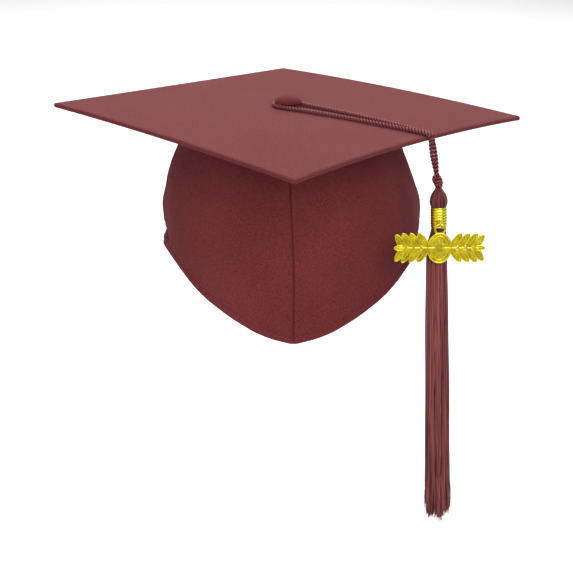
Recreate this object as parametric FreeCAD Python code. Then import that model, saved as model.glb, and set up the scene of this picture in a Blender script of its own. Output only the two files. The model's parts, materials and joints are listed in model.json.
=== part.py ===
import FreeCAD, Part
import math, os

V = FreeCAD.Vector
os.makedirs("parts", exist_ok=True)

# ---- driving dimensions, millimetres -------------------------------------
BOARD = 241.3            # side of the square board
CORNER_R = 2.0           # rounding of the board's corners
BOARD_T = 3.2            # whole thickness of the covered board
COVER_T = 0.45           # cloth on each side of the board
SEAM_W = 0.8             # sewn seam round the board's edge
BX, BZ = -3.0, 100.0     # board centre and its top face, from the head opening
DROOP_L, DROOP_R, DROOP_F, DROOP_B = -3.2, 6.4, 10.5, 2.6   # how far each corner sags
H = BOARD / math.sqrt(2.0)
GAP = 0.05               # space left between stacked layers

PANEL_T = 1.0            # front panels' cloth
STIFF_T = 0.7            # interfacing behind the front panels
HEM_T, HEM_H = 0.8, 9.0  # folded hem inside the front panels
BACK_T = 0.9             # back panel's cloth
ELASTIC_T, ELASTIC_H = 1.0, 5.5
CASING_T, CASING_H = 0.7, 8.5
JOIN_DEG = 86.0          # where a front panel meets the back panel

# half-widths and half-depths of the crown, by depth below the board's top
HALF_LEFT = [(3, 77.0), (16, 80.2), (30, 84.2), (43, 88.9), (55, 92.4), (75, 94.8), (100, 94.6), (125, 94.0), (150, 93.0)]
HALF_RIGHT = [(3, 71.5), (16, 76.3), (30, 81.2), (43, 86.2), (55, 90.3), (75, 94.3), (100, 95.5), (125, 95.0), (150, 94.0)]
HALF_FRONT = [(3, 80.0), (16, 83.5), (30, 87.0), (43, 89.8), (55, 91.8), (75, 94.0), (100, 94.6), (125, 93.8), (150, 92.0)]
HALF_BACK = [(3, 78.0), (16, 81.5), (30, 84.5), (43, 86.8), (55, 88.2), (75, 88.8), (88, 86.5), (100, 84.0), (150, 84.0)]
# depth of the lower edge below the board's top, by angle from the front seam
HEM = [(-5.5, 147.9), (0, 149.6), (5.5, 147.9), (11, 145.6), (17.5, 141.8), (22.5, 138.0), (27, 134.6), (31, 131.4), (35, 128.1),
       (40, 124.3), (44.5, 120.6), (51, 114.9), (58, 108.6), (67, 103.0), (76, 100.4), (86, 99.2), (100, 98.8), (140, 97.0), (180, 96.0), (220, 97.0)]

BUTTON_R, BUTTON_H = 9.6, 6.6
NECK_R, NECK_H = 4.5, 3.3
SHANK_R = 1.95

CORD_D = 2.5
EDGE_SHARE = 0.555       # where the cord crosses the front-right edge
LEAN = 2.2               # degrees the tassel hangs off plumb, to the right
DROP_LEAN = 13.0         # degrees the twisted cord stands out from the edge
DROP_LEN = 24.0          # from just under the edge to the knot
KNOT_R, KNOT_BOTTOM = 4.1, 33.1
HINGE_S = 33.5           # where the tassel's head swings under the knot
HEAD = [(33.9, 0.0), (34.3, 1.2), (35.2, 2.4), (36.6, 3.7), (38.5, 4.9), (40.8, 5.8), (43.0, 6.1), (45.0, 5.8), (46.4, 5.0)]
BAND_TOP, BAND_BOTTOM, BAND_R = 46.5, 61.2, 5.8
SKIRT = [(61.3, 4.9), (66, 6.0), (73, 6.9), (88, 7.3), (130, 7.9), (200, 8.6), (284, 9.2)]
CHARM_T = 1.5


def table(rows, x):
    """Smooth curve through rows of (x, y)."""
    if x <= rows[0][0]:
        return rows[0][1]
    if x >= rows[-1][0]:
        return rows[-1][1]
    i = max(k for k in range(len(rows) - 1) if rows[k][0] <= x)
    (x0, y0), (x1, y1) = rows[i], rows[i + 1]
    s0 = (y1 - rows[i - 1][1]) / (x1 - rows[i - 1][0]) if i else (y1 - y0) / (x1 - x0)
    s1 = (rows[i + 2][1] - y0) / (rows[i + 2][0] - x0) if i + 2 < len(rows) else (y1 - y0) / (x1 - x0)
    w = x1 - x0
    t = (x - x0) / w
    return ((2 * t**3 - 3 * t**2 + 1) * y0 + (t**3 - 2 * t**2 + t) * w * s0
            + (-2 * t**3 + 3 * t**2) * y1 + (t**3 - t**2) * w * s1)


def sag(x, y):
    """Depth of the board's top face below its centre."""
    u, v = (x - BX) / H, y / H
    return (DROOP_R if u > 0 else DROOP_L) * u * u + (DROOP_B if v > 0 else DROOP_F) * v * v


def save(shape, node):
    shape.exportStep("parts/" + node + ".step")


# ---- the board: core, covers and edge seam -------------------------------
def sheet_surface(n=17, half=128.0):
    rows = []
    c = math.sqrt(0.5)
    for i in range(n):
        row = []
        for j in range(n):
            a, b = -half + 2 * half * i / (n - 1), -half + 2 * half * j / (n - 1)
            x, y = BX + c * (a + b), c * (a - b)
            row.append(V(x, y, BZ - sag(x, y)))
        rows.append(row)
    s = Part.BSplineSurface()
    s.interpolate(rows)
    return s.toShape()


SHEET = sheet_surface()


def slab(top, bottom):
    """A layer that follows the board, from `top` down to `bottom` below its face."""
    f = SHEET.copy()
    f.translate(V(0, 0, -top))
    return f.extrude(V(0, 0, top - bottom))


def square(side, r):
    b = Part.makeBox(side, side, 80, V(-side / 2, -side / 2, BZ - 50))
    b.rotate(V(0, 0, 0), V(0, 0, 1), 45)
    b.translate(V(BX, 0, 0))
    up = [e for e in b.Edges if abs(e.Vertexes[0].Z - e.Vertexes[1].Z) > 50]
    return b.makeFillet(r, up)


def rod(r, z0, z1, x=BX, y=0.0):
    return Part.makeCylinder(r, z1 - z0, V(x, y, z0))


inner = square(BOARD - 2 * SEAM_W - 2 * GAP, CORNER_R - SEAM_W)
outer = square(BOARD, CORNER_R)
seam_hole = square(BOARD - 2 * SEAM_W, CORNER_R - SEAM_W + 0.02)
bore = rod(SHANK_R + 0.03, BZ - 30, BZ + 30)
core = slab(COVER_T + GAP, BOARD_T - COVER_T - GAP).common(inner).cut(bore)
top_cover = slab(0, COVER_T).common(inner).cut(bore)
under_cover = slab(BOARD_T - COVER_T, BOARD_T).common(inner).cut(bore)
edge_seam = slab(0, BOARD_T).common(outer).cut(seam_hole)
save(core.Solids[0], "board_core")
save(top_cover.Solids[0], "board_top_cover")
save(under_cover.Solids[0], "board_under_cover")
save(edge_seam.Solids[0], "board_edge_seam")

disc = slab(BOARD_T + GAP, BOARD_T + 0.6).common(rod(64.0, BZ - 40, BZ + 10, 0.0)).cut(bore)
save(disc.Solids[0], "crown_top_disc")
flange = slab(BOARD_T + GAP, BOARD_T + 2.2).common(
    rod(67.4, BZ - 40, BZ + 10, 0.0).cut(rod(64.1, BZ - 41, BZ + 11, 0.0)))
save(flange.Solids[0], "crown_seam_allowance")


# ---- the crown's walls ---------------------------------------------------
def wall_point(deg, depth, off):
    if abs(deg) < JOIN_DEG:                  # the front seam leans a little at the top
        t = max(0.0, min(1.0, depth / 110.0))
        deg += (-2.6 * (1 - t * t * (3 - 2 * t)) - 0.4) * (1 - abs(deg) / JOIN_DEG) ** 2
    p = math.radians(deg)
    s, c = math.sin(p), math.cos(p)
    a = table(HALF_RIGHT if s > 0 else HALF_LEFT, depth) - off
    b = table(HALF_FRONT if c > 0 else HALF_BACK, depth) - off
    return V(a * s, -b * c, BZ - depth)


def hem_depth(deg):
    d = abs(deg)
    return table(HEM, d)


def top_depth(deg, off):
    p = wall_point(deg, 4.0, off)
    return BOARD_T + GAP + 0.05 + sag(p.x, p.y)


def wall_grid(a0, a1, off, top, low, na, nz):
    rows = []
    for i in range(na):
        deg = a0 + (a1 - a0) * i / (na - 1)
        t, b = top(deg, off), low(deg)
        rows.append([wall_point(deg, t + (b - t) * j / (nz - 1), off) for j in range(nz)])
    return rows


def skin(front, back):
    """A solid between two grids of points."""
    def surf(g):
        s = Part.BSplineSurface()
        s.interpolate(g)
        return s
    a, b = surf(front), surf(back)
    faces = [a.toShape(), b.toShape()]
    for s in (0, 1):
        for way in ("u", "v"):
            def curve(q):
                u0, u1, v0, v1 = q.bounds()
                return (q.uIso(u1 if s else u0) if way == "u" else q.vIso(v1 if s else v0)).toShape()
            faces.append(Part.makeRuledSurface(curve(a), curve(b)))
    sh = Part.makeShell(faces)
    sh.sewShape()
    so = Part.makeSolid(sh.Shells[0] if sh.Shells else Part.Shell(sh.Faces))
    if so.Volume < 0:
        so.reverse()
    return so


def wall(a0, a1, off0, off1, top, low, na=15, nz=9):
    return skin(wall_grid(a0, a1, off0, top, low, na, nz), wall_grid(a0, a1, off1, top, low, na, nz))


def above_hem(h):
    return lambda deg, off=0: hem_depth(deg) - h


for side, s in (("right", 1), ("left", -1)):
    a0, a1 = sorted((s * 0.08, s * (JOIN_DEG - 0.05)))
    save(wall(a0, a1, 0.0, PANEL_T, top_depth, hem_depth, 37, 17), "crown_panel_" + side)
    o = PANEL_T + GAP
    a0, a1 = sorted((s * 0.3, s * (JOIN_DEG - 0.4)))
    save(wall(a0, a1, o, o + STIFF_T, top_depth, above_hem(0.8), 37, 17), "crown_stiffener_" + side)
    o += STIFF_T + 3 * GAP
    a0, a1 = sorted((s * 0.5, s * (JOIN_DEG - 0.6)))
    save(wall(a0, a1, o, o + HEM_T, above_hem(HEM_H), above_hem(1.0), 37, 7), "hem_" + side)

o = PANEL_T + STIFF_T + 4 * GAP
save(wall(-2.4, 2.4, o, o + 0.8, lambda d, f: top_depth(d, f) + 1.5, above_hem(HEM_H + 0.5), 7, 17), "front_seam_allowance")
B0, B1 = JOIN_DEG + 0.05, 360.0 - JOIN_DEG - 0.05


def back(fn):
    return lambda deg, off=0: fn(deg if deg <= 180 else 360 - deg, off)


def hem_back(deg, off=0):
    return hem_depth(deg if deg <= 180 else 360 - deg)


save(wall(B0, B1, 0.0, BACK_T, top_depth, hem_back, 45, 17), "back_panel")
o = BACK_T + 3 * GAP
save(wall(B0 + 1, B1 - 1, o, o + ELASTIC_T, lambda d, f: hem_back(d) - 1.6 - ELASTIC_H, lambda d: hem_back(d) - 1.6, 45, 7), "elastic_band")
o += ELASTIC_T + 2 * GAP
save(wall(B0 + 0.6, B1 - 0.6, o, o + CASING_T, lambda d, f: hem_back(d) - 0.8 - CASING_H, lambda d: hem_back(d) - 0.8, 45, 7), "elastic_casing")
for side, c in (("right", JOIN_DEG), ("left", -JOIN_DEG)):
    o = BACK_T + ELASTIC_T + CASING_T + 8 * GAP + 0.1
    save(wall(c - 2.2, c + 2.2, o, o + 0.8, lambda d, f: top_depth(d, f) + 1.5, lambda d: hem_depth(d) - 10.5, 5, 9), "side_seam_" + side)

# ---- the button ----------------------------------------------------------
def spun(points):
    """A ring or disc turned from (radius, height) points about the button's axis."""
    w = Part.makePolygon([V(BX + r, 0, BZ + z) for r, z in points + points[:1]])
    return Part.Face(w).revolve(V(BX, 0, 0), V(0, 0, 1), 360)


def arc(r, h, z, n=14, lo=0.0, hi=90.0):
    return [(r * math.cos(math.radians(lo + (hi - lo) * i / n)), z + h * math.sin(math.radians(lo + (hi - lo) * i / n))) for i in range(n + 1)]


def dome(r, h, z, t, foot):
    out = arc(r, h, z)
    out[-1] = (0.0, z + h)
    inn = arc(r - t, h - t, z)[::-1]
    inn[0] = (0.0, z + h - t)
    return spun(foot + out + inn)


cz = NECK_H + 0.6
save(dome(BUTTON_R, BUTTON_H - 0.6, cz, 0.5, [(BUTTON_R - 0.5, NECK_H + 0.45), (7.6, NECK_H + 0.45), (7.6, NECK_H), (BUTTON_R - 0.35, NECK_H)]), "button_cover")
save(dome(BUTTON_R - 0.55, BUTTON_H - 1.15, cz, 0.5, []), "button_shell")
save(spun([(2.0, NECK_H + 0.5), (BUTTON_R - 1.2, NECK_H + 0.5), (BUTTON_R - 1.2, NECK_H + 1.3), (2.0, NECK_H + 1.3)]), "button_back_plate")
save(spun([(2.0, 0.05), (NECK_R, 0.05), (NECK_R, NECK_H - 0.05), (7.4, NECK_H - 0.05), (7.4, NECK_H + 0.4), (2.0, NECK_H + 0.4)]), "button_neck")
under = -(BOARD_T + 0.6)
save(spun([(0, under - 1.1), (SHANK_R, under - 1.1), (SHANK_R, NECK_H + 1.35), (3.6, NECK_H + 1.35), (3.6, NECK_H + 2.1), (0, NECK_H + 2.1)]), "button_shank")
save(spun([(2.0, under - 0.1), (8.0, under - 0.1), (8.0, under - 1.0), (2.0, under - 1.0)]), "button_washer")
save(spun([(0, under - 1.15), (3.4, under - 1.15), (3.0, under - 2.0), (0, under - 2.3)]), "button_clinch")


# ---- the tassel's cord, from knot to knot --------------------------------
def tube(points, r):
    """A round cord along straight runs joined by tangent arcs."""
    pts = [V(*p) for p in points]
    n = len(pts)
    cut = [0.0] * n
    for i in range(1, n - 1):
        cut[i] = 0.45 * min((pts[i] - pts[i - 1]).Length, (pts[i + 1] - pts[i]).Length)
    edges, at = [], pts[0]
    for i in range(1, n - 1):
        a, b = (pts[i - 1] - pts[i]).normalize(), (pts[i + 1] - pts[i]).normalize()
        p, q = pts[i] + a * cut[i], pts[i] + b * cut[i]
        half = math.acos(max(-1.0, min(1.0, a.dot(b)))) / 2.0
        rad = cut[i] * math.tan(half)
        m = (a + b)
        m.normalize()
        mid = pts[i] + m * (rad / math.sin(half) - rad)
        edges.append(Part.LineSegment(at, p).toShape())
        edges.append(Part.Arc(p, mid, q).toShape())
        at = q
    edges.append(Part.LineSegment(at, pts[-1]).toShape())
    w = Part.Wire(edges)
    d = (pts[1] - pts[0]).normalize()
    prof = Part.Wire([Part.Circle(pts[0], d, r).toShape()])
    return w.makePipeShell([prof], True, False)


ex, ey = BX + H * EDGE_SHARE, -H * (1 - EDGE_SHARE)         # where it crosses the edge
far = math.hypot(ex - BX, ey)
ux, uy = (ex - BX) / far, ey / far                          # from the button towards it
LIFT = CORD_D / 2 + 0.45


def on_board(u, v):
    x, y = BX + ux * u - uy * v, uy * u + ux * v
    return (x, y, BZ - sag(x, y) + LIFT)


loop = [(116.6, -1.35), (104.0, -1.9), (70.0, -3.7), (39.0, -5.7), (10.0, -8.6), (-3.5, -9.6), (-11.0, -4.6),
        (-11.0, 4.6), (-3.5, 9.6), (10.0, 8.6), (39.0, 5.7), (70.0, 3.7), (104.0, 1.9), (116.6, 1.35)]
save(tube([on_board(u, v) for u, v in loop], CORD_D / 2), "tassel_cord_loop")

nx, ny = math.sqrt(0.5), -math.sqrt(0.5)                    # out from the board's edge
tx, ty = math.sqrt(0.5), math.sqrt(0.5)                     # along the edge
out = 1.2 + CORD_D / 2
T0 = V(ex + nx * out, ey + ny * out, BZ - sag(ex, ey) - 2.0)


sd, cd = math.sin(math.radians(DROP_LEAN)), math.cos(math.radians(DROP_LEAN))
sl, cl = math.sin(math.radians(LEAN)), math.cos(math.radians(LEAN))
HINGE = T0 + V(nx * sd, ny * sd, -cd) * HINGE_S
T1 = HINGE - V(sl, 0, -cl) * HINGE_S


def drop(shape):
    """Put a shape drawn on the twisted cord's axis in its place under the edge."""
    s = shape.copy()
    s.rotate(V(0, 0, 0), V(-tx, -ty, 0), DROP_LEAN)
    s.translate(T0)
    return s


def hang(shape):
    """Put a shape drawn on the tassel's own hanging axis in its place."""
    s = shape.copy()
    s.rotate(V(0, 0, 0), V(0, 1, 0), -LEAN)
    s.translate(T1)
    return s


def down(r, s0, s1, x=0.0, y=0.0):
    return Part.makeCylinder(r, s1 - s0, V(x, y, -s1))


k = CORD_D / 2 + 0.02
pair = Part.makeCompound([drop(down(CORD_D / 2, 0, DROP_LEN - 0.4, tx * k, ty * k)), drop(down(CORD_D / 2, 0, DROP_LEN - 0.4, -tx * k, -ty * k))])
save(pair, "tassel_cord_drop")


def turned(rows, place=hang):
    """A solid turned from (depth, radius) rows about a hanging axis."""
    pts = [V(0, 0, -rows[0][0])] + [V(r, 0, -s) for s, r in rows] + [V(0, 0, -rows[-1][0])]
    clean = [pts[0]]
    for p in pts[1:]:
        if (p - clean[-1]).Length > 1e-6:
            clean.append(p)
    return place(Part.Face(Part.makePolygon(clean + [clean[0]])).revolve(V(0, 0, 0), V(0, 0, 1), 360))


def bead(s0, s1, r, n=16, lo=0.0, hi=180.0):
    c, h = (s0 + s1) / 2, (s1 - s0) / 2
    return [(c - h * math.cos(math.radians(lo + (hi - lo) * i / n)), r * math.sin(math.radians(lo + (hi - lo) * i / n))) for i in range(n + 1)]


save(turned(bead(DROP_LEN, KNOT_BOTTOM, KNOT_R), drop), "tassel_knot")
save(turned(HEAD), "tassel_head")
save(hang(down(4.5, HEAD[-1][0] + 0.05, BAND_BOTTOM)), "tassel_neck_wrap")
ribs = []
turns = 9
pitch = (BAND_BOTTOM - BAND_TOP) / turns
for i in range(turns):
    s = BAND_TOP + i * pitch
    ribs += [(s + 0.02, BAND_R - 0.45), (s + pitch * 0.25, BAND_R - 0.08), (s + pitch * 0.5, BAND_R), (s + pitch * 0.75, BAND_R - 0.08), (s + pitch - 0.02, BAND_R - 0.45)]
band = turned(ribs).cut(hang(down(4.55, BAND_TOP - 1, BAND_BOTTOM + 1)))


def ring(R, r, s, y, axis, x=0.0):
    return hang(Part.makeTorus(R, r, V(x, y, -s), axis))


EYE_S, EYE_Y = BAND_TOP + 8.85, -7.0          # the eye drawn out of the band's coil
eye = ring(2.0, 0.5, EYE_S, EYE_Y, V(0, 0, 1)).cut(hang(down(BAND_R + 0.01, BAND_TOP, BAND_BOTTOM)))
save(band.Solids[0], "tassel_band")
save(eye.Solids[0], "band_eye")
save(turned(SKIRT), "tassel_skirt")

LINK_S = EYE_S + 0.9
save(ring(2.2, 0.5, LINK_S, EYE_Y - 2.0, V(1, 0, 0)), "charm_link")
LOOP_S = LINK_S + 2.2 - 1.55 + 3.5
CY = EYE_Y - 2.0                               # the charm's middle plane


def leaf(x, s, a, b, turn):
    e = Part.Wire([Part.Ellipse(V(0, 0, 0), a, b).toShape()])
    f = Part.Face(e).extrude(V(0, 0, CHARM_T))
    f.translate(V(0, 0, -CHARM_T / 2))
    f.rotate(V(0, 0, 0), V(0, 0, 1), turn)
    f.rotate(V(0, 0, 0), V(1, 0, 0), 90)
    f.translate(V(x, CY, -s))
    return f


charm = Part.makeTorus(3.5, 0.75, V(0, CY, -LOOP_S), V(0, 1, 0))
C_TOP = LOOP_S + 2.4
C_MID = C_TOP + 10.9
parts = [Part.makeBox(56, CHARM_T, 1.7, V(-28, CY - CHARM_T / 2, -C_MID - 0.85)), leaf(0, C_MID, 10.9, 8.4, 90)]
for sgn in (-1, 1):
    for x, a, b in ((8.4, 6.1, 2.35), (13.8, 6.1, 2.35), (19.2, 6.1, 2.35), (24.4, 5.5, 2.25)):
        for up in (-1, 1):
            parts.append(leaf(sgn * (x + 0.53 * a), C_MID - up * 0.85 * a, a, b, sgn * up * 58))
    parts.append(leaf(sgn * 28.0, C_MID, 3.2, 1.7, 0))
charm = hang(charm.fuse(parts).removeSplitter())
pivot = hang(Part.Vertex(0, CY, -(LINK_S + 2.2))).Point
charm.rotate(pivot, V(0, 1, 0), LEAN)                     # it hangs plumb from its link
save(charm.Solids[0], "charm")
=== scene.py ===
import bpy, json, math
import numpy as np
from mathutils import Vector, Matrix


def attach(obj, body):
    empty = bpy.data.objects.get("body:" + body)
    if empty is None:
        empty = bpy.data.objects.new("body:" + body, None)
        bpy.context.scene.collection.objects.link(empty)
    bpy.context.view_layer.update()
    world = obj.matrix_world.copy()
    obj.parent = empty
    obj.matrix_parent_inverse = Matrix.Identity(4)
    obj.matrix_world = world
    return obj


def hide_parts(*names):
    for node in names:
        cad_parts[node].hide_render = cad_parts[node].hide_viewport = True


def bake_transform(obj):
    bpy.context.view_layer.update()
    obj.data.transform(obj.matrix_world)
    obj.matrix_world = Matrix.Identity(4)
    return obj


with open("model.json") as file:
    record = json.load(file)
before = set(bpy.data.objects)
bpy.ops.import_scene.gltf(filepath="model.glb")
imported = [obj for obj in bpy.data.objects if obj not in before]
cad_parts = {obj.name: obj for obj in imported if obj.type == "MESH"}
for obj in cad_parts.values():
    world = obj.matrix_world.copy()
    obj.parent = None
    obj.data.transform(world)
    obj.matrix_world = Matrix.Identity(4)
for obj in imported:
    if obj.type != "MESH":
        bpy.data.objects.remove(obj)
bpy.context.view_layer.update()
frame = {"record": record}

MM = 0.001
rng = np.random.default_rng(7)

# ------------------------------------------------------------------ the frame's own sizes, mm
BOARD, CORNER_R, BOARD_T = 241.3, 2.0, 3.2
BX, BZ = -3.0, 100.0
DL, DR, DF, DB = -3.2, 6.4, 10.5, 2.6
H = BOARD / math.sqrt(2.0)
JOIN = 86.0
HALF_LEFT = [(3, 77.0), (16, 80.2), (30, 84.2), (43, 88.9), (55, 92.4), (75, 94.8), (100, 94.6), (125, 94.0), (150, 93.0)]
HALF_RIGHT = [(3, 71.5), (16, 76.3), (30, 81.2), (43, 86.2), (55, 90.3), (75, 94.3), (100, 95.5), (125, 95.0), (150, 94.0)]
HALF_FRONT = [(3, 80.0), (16, 83.5), (30, 87.0), (43, 89.8), (55, 91.8), (75, 94.0), (100, 94.6), (125, 93.8), (150, 92.0)]
HALF_BACK = [(3, 78.0), (16, 81.5), (30, 84.5), (43, 86.8), (55, 88.2), (75, 88.8), (88, 86.5), (100, 84.0), (150, 84.0)]
HEM = [(-5.5, 147.9), (0, 149.6), (5.5, 147.9), (11, 145.6), (17.5, 141.8), (22.5, 138.0), (27, 134.6), (31, 131.4), (35, 128.1),
       (40, 124.3), (44.5, 120.6), (51, 114.9), (58, 108.8), (67, 103.6), (76, 101.2), (86, 100.2), (100, 99.4), (140, 97.0), (180, 96.0), (220, 97.0)]
EDGE_SHARE, LEAN, DROP_LEAN = 0.555, math.radians(2.2), math.radians(13.0)
DROP_LEN, HINGE_S = 24.0, 33.5
CORD_D = 2.5
R2 = math.sqrt(0.5)


def table(rows, x):
    """Smooth curve through rows of (x, y), for arrays of x."""
    X = np.array([r[0] for r in rows], float)
    Y = np.array([r[1] for r in rows], float)
    x = np.clip(np.asarray(x, float), X[0], X[-1])
    i = np.clip(np.searchsorted(X, x, side="right") - 1, 0, len(X) - 2)
    S = np.empty(len(X))
    S[1:-1] = (Y[2:] - Y[:-2]) / (X[2:] - X[:-2])
    S[0], S[-1] = (Y[1] - Y[0]) / (X[1] - X[0]), (Y[-1] - Y[-2]) / (X[-1] - X[-2])
    w = X[i + 1] - X[i]
    t = (x - X[i]) / w
    return ((2 * t**3 - 3 * t**2 + 1) * Y[i] + (t**3 - 2 * t**2 + t) * w * S[i]
            + (-2 * t**3 + 3 * t**2) * Y[i + 1] + (t**3 - t**2) * w * S[i + 1])


def sag(x, y):
    u, v = (np.asarray(x, float) - BX) / H, np.asarray(y, float) / H
    return np.where(u > 0, DR, DL) * u * u + np.where(v > 0, DB, DF) * v * v


def smooth(a, b, x):
    t = np.clip((np.asarray(x, float) - a) / (b - a), 0, 1)
    return t * t * (3 - 2 * t)


class Waves:
    """Smooth repeatable noise in one or two directions."""

    def __init__(self, seed, n, low, high, dims=1):
        r = np.random.default_rng(seed)
        self.f = r.uniform(low, high, n) * 2 * math.pi
        self.p = r.uniform(0, 2 * math.pi, n)
        self.a = r.uniform(0.5, 1.0, n)
        th = r.uniform(0, 2 * math.pi, n)
        self.c, self.s, self.dims = np.cos(th), np.sin(th), dims

    def __call__(self, x, y=0.0):
        x, y = np.asarray(x, float), np.asarray(y, float)
        out = 0.0
        for f, p, a, c, s in zip(self.f, self.p, self.a, self.c, self.s):
            q = x * c + y * s if self.dims == 2 else x
            out = out + a * np.sin(f * q + p)
        return out / math.sqrt(len(self.f))


# ------------------------------------------------------------------ mesh helpers
def make(name, verts, faces, uv=None, flat=False):
    me = bpy.data.meshes.new(name)
    me.from_pydata((np.asarray(verts, float) * MM).tolist(), [], [tuple(int(i) for i in f) for f in faces])
    if uv is not None:
        layer = me.uv_layers.new(name="UVMap")
        idx = np.empty(len(me.loops), int)
        me.loops.foreach_get("vertex_index", idx)
        layer.data.foreach_set("uv", np.asarray(uv, float)[idx].ravel())
    me.update()
    if not flat:
        me.polygons.foreach_set("use_smooth", [True] * len(me.polygons))
    ob = bpy.data.objects.new(name, me)
    bpy.context.scene.collection.objects.link(ob)
    return ob


def grid_faces(n, m, wrap_n=False, wrap_m=False, off=0, flip=False):
    i = np.arange(n if wrap_n else n - 1)
    j = np.arange(m if wrap_m else m - 1)
    I, J = np.meshgrid(i, j, indexing="ij")
    a = I * m + J
    b = ((I + 1) % n) * m + J
    c = ((I + 1) % n) * m + (J + 1) % m
    d = I * m + (J + 1) % m
    f = np.stack([a, b, c, d], -1).reshape(-1, 4) + off
    return f[:, ::-1] if flip else f


def frames(P):
    """Tangents and turning-free normals along rows of points; P is (threads, points, 3)."""
    T = np.gradient(P, axis=1)
    T /= np.linalg.norm(T, axis=2, keepdims=True) + 1e-12
    N = np.empty_like(P)
    ref = np.where(np.abs(T[:, 0, 2:3]) < 0.9, np.array([[0.0, 0, 1]]), np.array([[1.0, 0, 0]]))
    n = ref - (ref * T[:, 0]).sum(1, keepdims=True) * T[:, 0]
    n /= np.linalg.norm(n, axis=1, keepdims=True)
    N[:, 0] = n
    for k in range(1, P.shape[1]):
        n = n - (n * T[:, k]).sum(1, keepdims=True) * T[:, k]
        n /= np.linalg.norm(n, axis=1, keepdims=True) + 1e-12
        N[:, k] = n
    return T, N, np.cross(T, N)


def tubes(P, R, sides=6, closed=False, caps=True):
    """Many round tubes at once. Gives vertices, faces and (length, angle) for each vertex."""
    P = np.asarray(P, float)
    if P.ndim == 2:
        P = P[None]
    k, m, _ = P.shape
    R = np.broadcast_to(np.asarray(R, float), (k, m))
    T, N, B = frames(P)
    if closed:
        # undo the gap that a closed run leaves between its two ends
        T[:, 0] = T[:, -1] = (P[:, 1] - P[:, -2]) / (np.linalg.norm(P[:, 1] - P[:, -2], axis=1, keepdims=True) + 1e-12)
    ang = np.arange(sides) * 2 * math.pi / sides
    V = P[:, :, None] + R[:, :, None, None] * (np.cos(ang)[None, None, :, None] * N[:, :, None] + np.sin(ang)[None, None, :, None] * B[:, :, None])
    L = np.concatenate([np.zeros((k, 1)), np.cumsum(np.linalg.norm(np.diff(P, axis=1), axis=2), axis=1)], 1)
    uv = np.stack([np.broadcast_to(L[:, :, None], (k, m, sides)), np.broadcast_to(ang[None, None] / (2 * math.pi), (k, m, sides))], -1)
    uv = uv + np.arange(k)[:, None, None, None] * np.array([631.0, 0.0])
    faces = []
    one = grid_faces(m, sides, wrap_m=True, flip=True)
    F = (one[None] + (np.arange(k) * m * sides)[:, None, None]).reshape(-1, 4)
    V, uv = V.reshape(-1, 3), uv.reshape(-1, 2)
    faces = [tuple(f) for f in F]
    if caps and not closed:
        for t in range(k):
            a = t * m * sides
            faces.append(tuple(range(a, a + sides)))
            b = a + (m - 1) * sides
            faces.append(tuple(range(b + sides - 1, b - 1, -1)))
    return V, faces, uv


def lathe(rows, n=96, cx=0.0, cy=0.0, wobble=None):
    """Turns (radius, z) rows about a vertical axis."""
    rows = np.asarray(rows, float)
    a = np.arange(n) * 2 * math.pi / n
    r = rows[:, 0][None, :] * np.ones((n, 1))
    z = rows[:, 1][None, :] * np.ones((n, 1))
    if wobble is not None:
        r, z = wobble(a[:, None], r, z)
    V = np.stack([cx + r * np.cos(a)[:, None], cy + r * np.sin(a)[:, None], z], -1).reshape(-1, 3)
    return V, grid_faces(n, len(rows), wrap_n=True, flip=False)


def hide_nodes(piece, *nodes):
    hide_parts(*nodes)
    return piece


# ------------------------------------------------------------------ materials
def new_mat(name):
    m = bpy.data.materials.new(name)
    m.use_nodes = True
    nt = m.node_tree
    nt.nodes.clear()
    out = nt.nodes.new("ShaderNodeOutputMaterial")
    b = nt.nodes.new("ShaderNodeBsdfPrincipled")
    nt.links.new(b.outputs[0], out.inputs[0])
    return m, nt, b


def node(nt, kind, **kw):
    n = nt.nodes.new(kind)
    for k, v in kw.items():
        if k.startswith("_"):
            setattr(n, k[1:], v)
        else:
            n.inputs[k].default_value = v
    return n


def noise(nt, vec, scale, detail=3.0, rough=0.55):
    n = node(nt, "ShaderNodeTexNoise", Scale=scale, Detail=detail, Roughness=rough)
    nt.links.new(vec, n.inputs["Vector"])
    return n.outputs[0]


def ramp(nt, fac, stops):
    r = nt.nodes.new("ShaderNodeValToRGB")
    els = r.color_ramp.elements
    while len(els) < len(stops):
        els.new(0.5)
    for e, (p, c) in zip(els, stops):
        e.position, e.color = p, (*c, 1.0)
    nt.links.new(fac, r.inputs[0])
    return r.outputs[0]


def maths(nt, op, a, b=None, clamp=False):
    m = nt.nodes.new("ShaderNodeMath")
    m.operation, m.use_clamp = op, clamp
    for i, v in enumerate((a, b)):
        if v is None:
            continue
        if hasattr(v, "links"):
            nt.links.new(v, m.inputs[i])
        else:
            m.inputs[i].default_value = v
    return m.outputs[0]


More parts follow.
